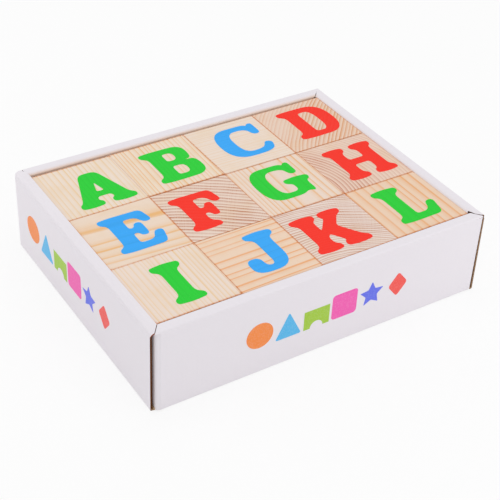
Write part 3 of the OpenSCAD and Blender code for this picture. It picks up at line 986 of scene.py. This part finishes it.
def shape_outline(kind, size):
    """Outline of a plain toy shape of a given size round zero."""
    half = size / 2
    if kind == "disc":
        return round_points(half, 0, 360 - 360 / DISC_POINTS, DISC_POINTS)
    if kind == "arch":
        hole = [point - Vector((0, half)) for point in round_points(ARCH_HOLE * half, 180, 0, ARCH_POINTS)]
        left_foot, *others = [Vector(corner) * half for corner in ARCH_CORNERS]
        return [left_foot, *hole, *others]
    if kind == "star":
        corners = []
        for number, reach in enumerate([half, STAR_WAIST * half] * STAR_TIPS):
            angle = math.pi * number / STAR_TIPS
            corners.append(Vector((math.sin(angle), math.cos(angle))) * reach)
    else:
        corners = [Vector(corner) * half for corner in SHAPE_CORNERS[kind]]
    return softened(corners, SHAPE_ROUNDING[kind] * size)


def wall_print(name):
    """Row of plain shapes printed on an outer wall."""
    bm = bmesh.new()
    row_start = WALL_PRINT_SHIFT[name] - (len(WALL_PRINT) - 1) / 2 * WALL_PRINT_PITCH
    for number, (kind, _) in enumerate(WALL_PRINT):
        place = Vector((row_start + number * WALL_PRINT_PITCH, WALL_PRINT_HEIGHT))
        outline = [place + point for point in shape_outline(kind, WALL_PRINT_SIZE)]
        slab(bm, SIDES[name], outline, (0.0, -WALL_FILM_T), (number, number, number))
    new_piece(name + "_wall_print", bm, wall_inks, "tray")


def pine_cube(letter):
    """Sanded cube whose edges are rounded a little unevenly. Gives its middle and half its side."""
    low, high = box_mm("block_" + letter)
    middle, half = (low + high) / 2, (high.x - low.x) / 2
    swell = Vector([(half + part) / half for part in CUBE_SWELL])
    cuts = [half * (1 - share) for share in EDGE_CUTS]
    lines = [-cut for cut in cuts] + [0.0] + cuts[::-1]
    bm = bmesh.new()
    corners = {}

    def corner(point):
        key = tuple(round(part, 4) for part in point)
        if key not in corners:
            wear = noise.noise((Vector(point) + middle) * WEAR_SCALE)
            radius = EDGE_R + EDGE_R_SPREAD * wear
            core = Vector([max(radius - half, min(half - radius, part)) for part in point])
            out = Vector(point) - core
            corners[key] = bm.verts.new((middle + (core + out.normalized() * radius) * swell) * MM)
        return corners[key]

    for axis in range(3):
        for way in (-half, half):
            for u0, u1 in zip(lines, lines[1:]):
                for v0, v1 in zip(lines, lines[1:]):
                    square = []
                    for u, v in ((u0, v0), (u1, v0), (u1, v1), (u0, v1)):
                        point = [u, v]
                        point.insert(axis, way)
                        square.append(corner(point))
                    bm.faces.new(square)
    material = pine_material(letter, middle, half)
    piece = new_piece("pine_cube_" + letter, bm, (material,), "cube_" + letter, CUBE_SMOOTH_ANGLE)
    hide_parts("block_" + letter)
    return middle, half


# Faces of a cube beside the upper one: the way right, the way up and the way out on each,
# and how many letters further on in the alphabet its print is
CUBE_FACES = (
    ((1, 0, 0), (0, 0, 1), (0, -1, 0), 3),
    ((0, 1, 0), (0, 0, 1), (1, 0, 0), 5),
    ((-1, 0, 0), (0, 0, 1), (0, 1, 0), 8),
    ((0, -1, 0), (0, 0, 1), (-1, 0, 0), 10),
    ((1, 0, 0), (0, -1, 0), (0, 0, -1), 7),
)


def side_prints(letter, middle, half):
    """Letters on the other faces of a cube, one piece for each ink."""
    meshes = {}
    for right, up, out, further in CUBE_FACES:
        number = (LETTERS.index(letter) + further) % len(LETTERS)
        node = "letter_" + LETTERS[number]
        low, high = box_mm(node)
        centre = Vector(((low.x + high.x) / 2, (low.y + high.y) / 2, low.z))
        film = Matrix.Diagonal((1.0, 1.0, SIDE_FILM_T / (high.z - low.z)))
        turn = Matrix((right, up, out)).transposed()
        start = middle + Vector([way * (half + part) for way, part in zip(out, CUBE_SWELL)])
        bm = meshes.setdefault(INK_ORDER[number], bmesh.new())
        before = len(bm.verts)
        bm.from_mesh(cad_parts[node].data)
        bm.verts.ensure_lookup_table()
        for vert in bm.verts[before:]:
            vert.co = (start + turn @ film @ (vert.co / MM - centre)) * MM
    for ink, bm in meshes.items():
        for face in bm.faces:
            face.material_index = 0
        name = "side_prints_" + letter + "_" + ink
        material = ink_material(name, ink, letter, middle)
        new_piece(name, bm, (material,), "cube_" + letter)


# Tray
for side_name in SIDES:
    outer_wall(side_name)
    rim(side_name)
    inner_wall(side_name)
tray_floor()
for y_name, y_way in (("front", -1), ("back", 1)):
    for x_name, x_way in (("left", -1), ("right", 1)):
        corner_flap(y_name + "_" + x_name + "_flap", x_way, y_way)
for side_name in SIDES:
    wall_print(side_name)

# Cubes and letters
for letter, ink in zip(LETTERS, INK_ORDER):
    cube_middle, cube_half = pine_cube(letter)
    side_prints(letter, cube_middle, cube_half)
    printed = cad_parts["letter_" + letter].data
    printed.materials.clear()
    printed.materials.append(ink_material("ink_" + letter, ink, letter, cube_middle))


def stage_floor():
    """Wide pale floor that takes the shadow of the object."""
    bpy.ops.mesh.primitive_plane_add(size=FLOOR_SIZE, location=(0, 0, -FLOOR_DROP))
    floor = bpy.context.object
    floor.name = "studio_floor"
    shade = Shade("studio_floor")
    cloud = shade.noise(shade.coords.outputs["Object"], FLOOR_CLOUD_PERIOD, detail=2.0)
    sockets = shade.principled.inputs
    shade.put(sockets["Base Color"], shade.mix(cloud, *FLOOR_TONES))
    shade.put(sockets["Roughness"], FLOOR_ROUGHNESS)
    shade.put(sockets["Specular IOR Level"], FLOOR_GLOSS)
    white = shade.node("Emission", {"Color": PLAIN, "Strength": 1.0})
    path = shade.node("LightPath").outputs
    seen = shade.math("MAXIMUM", path["Is Camera Ray"], path["Is Glossy Ray"])
    seen = shade.math("MAXIMUM", seen, path["Is Transmission Ray"])
    lit = shade.node("MixShader", {0: shade.math("MULTIPLY", seen, FLOOR_WHITE)})
    shade.put(lit.inputs[1], shade.principled.outputs["BSDF"])
    shade.put(lit.inputs[2], white.outputs["Emission"])
    output = shade.tree.nodes["Material Output"]
    shade.put(output.inputs["Surface"], lit.outputs["Shader"])
    floor.data.materials.append(shade.material)


def studio_world():
    """Even soft light from all round, seen as white."""
    world = bpy.data.worlds.new("studio")
    bpy.context.scene.world = world
    world.use_nodes = True
    tree = world.node_tree
    light = tree.nodes["Background"]
    light.inputs["Color"].default_value = PLAIN
    light.inputs["Strength"].default_value = WORLD_STRENGTH
    white = tree.nodes.new("ShaderNodeBackground")
    white.inputs["Color"].default_value = PLAIN
    path = tree.nodes.new("ShaderNodeLightPath")
    seen = path.outputs["Is Camera Ray"]
    for ray in ("Is Glossy Ray", "Is Transmission Ray"):
        either = tree.nodes.new("ShaderNodeMath")
        either.operation = "MAXIMUM"
        tree.links.new(seen, either.inputs[0])
        tree.links.new(path.outputs[ray], either.inputs[1])
        seen = either.outputs[0]
    mix = tree.nodes.new("ShaderNodeMixShader")
    tree.links.new(seen, mix.inputs[0])
    tree.links.new(light.outputs[0], mix.inputs[1])
    tree.links.new(white.outputs[0], mix.inputs[2])
    tree.links.new(mix.outputs[0], tree.nodes["World Output"].inputs["Surface"])


def soft_box(light):
    """Square area light that faces a point."""
    data = bpy.data.lights.new(light.name, "AREA")
    data.shape = "SQUARE"
    data.size = light.size
    data.energy = light.power
    lamp = bpy.data.objects.new(light.name, data)
    lamp.location = light.place
    lamp.rotation_euler = (Vector(light.aim) - Vector(light.place)).to_track_quat("-Z", "Y").to_euler()
    bpy.context.scene.collection.objects.link(lamp)


def photo_camera():
    """Camera at the photograph's viewing angle."""
    azimuth = math.radians(CAMERA_AZIMUTH)
    elevation = math.radians(CAMERA_ELEVATION)
    roll = math.radians(CAMERA_ROLL)
    ground = math.cos(elevation)
    back = Vector((math.sin(azimuth) * ground, -math.cos(azimuth) * ground, math.sin(elevation)))
    level = Vector((0, 0, 1)).cross(back).normalized()
    rise = back.cross(level)
    right = level * math.cos(roll) + rise * math.sin(roll)
    up = rise * math.cos(roll) - level * math.sin(roll)
    aim = Vector((0, 0, CAMERA_AIM_HEIGHT))
    place = aim + back * CAMERA_DISTANCE - right * CAMERA_SLIDE[0] - up * CAMERA_SLIDE[1]
    data = bpy.data.cameras.new("photo_camera")
    data.lens = CAMERA_LENS
    data.sensor_width = SENSOR
    data.clip_start = CAMERA_NEAR * MM
    camera = bpy.data.objects.new("photo_camera", data)
    turn = Matrix((right, up, back)).transposed().to_4x4()
    camera.matrix_world = Matrix.Translation(place * MM) @ turn
    bpy.context.scene.collection.objects.link(camera)
    bpy.context.scene.camera = camera


# Studio
stage_floor()
studio_world()
for studio_light in LIGHTS:
    soft_box(studio_light)
photo_camera()
bpy.context.scene.view_settings.view_transform = "Standard"
